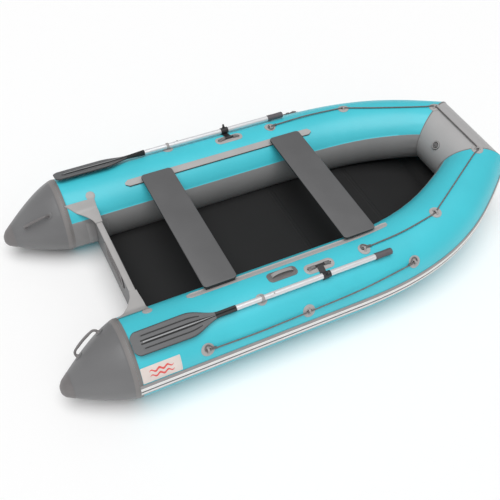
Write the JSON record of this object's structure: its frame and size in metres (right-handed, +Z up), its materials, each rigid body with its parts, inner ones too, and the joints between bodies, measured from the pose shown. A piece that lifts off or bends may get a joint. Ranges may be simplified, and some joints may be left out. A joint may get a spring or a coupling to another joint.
{
  "type": "inflatable boat",
  "caption": "Inflatable transom dinghy with side tubes, folding floor boards, sliding thwart seats, stowed oars and life-lines.",
  "frame": {"origin": "on the ground, under the middle of the boat box", "axes": "+X to the bow, +Y to port, +Z up"},
  "size_m": [2.7945, 1.4508, 0.5119],
  "materials": {
    "turquoise_fabric": "matte coated fabric",
    "grey_fabric": "matte coated fabric",
    "light_grey_fabric": "matte coated fabric",
    "strake_rubber": "satin",
    "floor_board": "black fabric-faced plywood",
    "transom_board": "grey coated plywood",
    "seat_board": "dark grey coated plywood",
    "aluminium": "satin anodised",
    "blade_plastic": "satin moulded",
    "dark_plastic": "satin moulded",
    "grey_plastic": "satin moulded",
    "rope": "twisted cord"
  },
  "bodies": {
    "hull": {"bottom_skin": "grey_fabric", "bow_line": "rope", "bow_tube": "grey_fabric", "carry_handle": "light_grey_fabric", "floor_panel_1": "floor_board", "floor_panel_2": "floor_board", "floor_panel_3": "floor_board", "floor_panel_4": "floor_board", "inner_motor_plate": "dark_plastic", "outer_motor_plate": "grey_plastic", "port_bow_eye_1": "light_grey_fabric", "port_bow_eye_2": "light_grey_fabric", "port_bow_eye_3": "light_grey_fabric", "port_oar_strap": "light_grey_fabric", "port_oarlock_base": "light_grey_fabric", "port_outer_eye_1": "light_grey_fabric", "port_outer_eye_2": "light_grey_fabric", "port_outer_eye_3": "light_grey_fabric", "port_outer_line": "rope", "port_seat_rail": "light_grey_fabric", "port_side_tube": "turquoise_fabric", "port_stern_cone": "grey_fabric", "port_stern_handle": "grey_fabric", "port_transom_knee": "light_grey_fabric", "rub_strake": "strake_rubber", "starboard_bow_eye_1": "light_grey_fabric", "starboard_bow_eye_2": "light_grey_fabric", "starboard_bow_eye_3": "light_grey_fabric", "starboard_oar_strap": "light_grey_fabric", "starboard_oarlock_base": "light_grey_fabric", "starboard_outer_eye_1": "light_grey_fabric", "starboard_outer_eye_2": "light_grey_fabric", "starboard_outer_eye_3": "light_grey_fabric", "starboard_outer_line": "rope", "starboard_seat_rail": "light_grey_fabric", "starboard_side_tube": "turquoise_fabric", "starboard_stern_cone": "grey_fabric", "starboard_stern_handle": "grey_fabric", "starboard_transom_knee": "light_grey_fabric", "transom_board": "transom_board", "valve_body": "grey_plastic"},
    "rear_seat": {"rear_seat": "seat_board"},
    "front_seat": {"front_seat": "seat_board"},
    "valve_cap": {"valve_cap": "dark_plastic"},
    "port_oarlock": {"port_oarlock_arm": "dark_plastic", "port_oarlock_pin": "dark_plastic"},
    "port_oar": {"port_oar_lower_shaft": "aluminium", "port_oar_upper_shaft": "aluminium", "port_oar_blade": "blade_plastic", "port_oar_grip": "dark_plastic", "port_oar_collar": "dark_plastic"},
    "port_button": {"port_oar_button": "grey_plastic"},
    "starboard_oarlock": {"starboard_oarlock_arm": "dark_plastic", "starboard_oarlock_pin": "dark_plastic"},
    "starboard_oar": {"starboard_oar_lower_shaft": "aluminium", "starboard_oar_upper_shaft": "aluminium", "starboard_oar_blade": "blade_plastic", "starboard_oar_grip": "dark_plastic", "starboard_oar_collar": "dark_plastic"},
    "starboard_button": {"starboard_oar_button": "grey_plastic"}
  },
  "joints": [
    {"name": "rear_seat_slide", "type": "slide", "parent": "hull", "child": "rear_seat", "axis": [1, 0, 0], "range_m": [-0.085, 0.5]},
    {"name": "front_seat_slide", "type": "slide", "parent": "hull", "child": "front_seat", "axis": [1, 0, 0], "range_m": [-0.5, 0.09]},
    {"name": "port_oarlock_tilt", "type": "hinge", "parent": "hull", "child": "port_oarlock", "pos_m": [-0.03125, 0.53049, 0.40795], "axis": [1, 0, 0], "range_deg": [0, 32], "deforming": ["port_oar_strap"]},
    {"name": "port_oar_swing", "type": "hinge", "parent": "port_oarlock", "child": "port_oar", "pos_m": [-0.03125, 0.59873, 0.40687], "axis": [0, -0.3665, -0.9304], "range_deg": [0, 135], "deforming": ["port_oar_strap"]},
    {"name": "port_button_press", "type": "slide", "parent": "port_oar", "child": "port_button", "axis": [0, -0.3665, -0.9304], "range_m": [0, 0.003], "stiffness_N_per_m": 600},
    {"name": "starboard_oarlock_tilt", "type": "hinge", "parent": "hull", "child": "starboard_oarlock", "pos_m": [-0.03125, -0.53049, 0.40795], "axis": [-1, 0, 0], "range_deg": [0, 32], "deforming": ["starboard_oar_strap"]},
    {"name": "starboard_oar_swing", "type": "hinge", "parent": "starboard_oarlock", "child": "starboard_oar", "pos_m": [-0.03125, -0.59873, 0.40687], "axis": [0, -0.3665, 0.9304], "range_deg": [0, 135], "deforming": ["starboard_oar_strap"]},
    {"name": "starboard_button_press", "type": "slide", "parent": "starboard_oar", "child": "starboard_button", "axis": [0, 0.3665, -0.9304], "range_m": [0, 0.003], "stiffness_N_per_m": 600},
    {"name": "valve_cap_turn", "type": "hinge", "parent": "hull", "child": "valve_cap", "pos_m": [1.06589, -0.016, 0.41403], "axis": [-0.8572, 0, 0.515], "range_deg": [0, 90]}
  ]
}
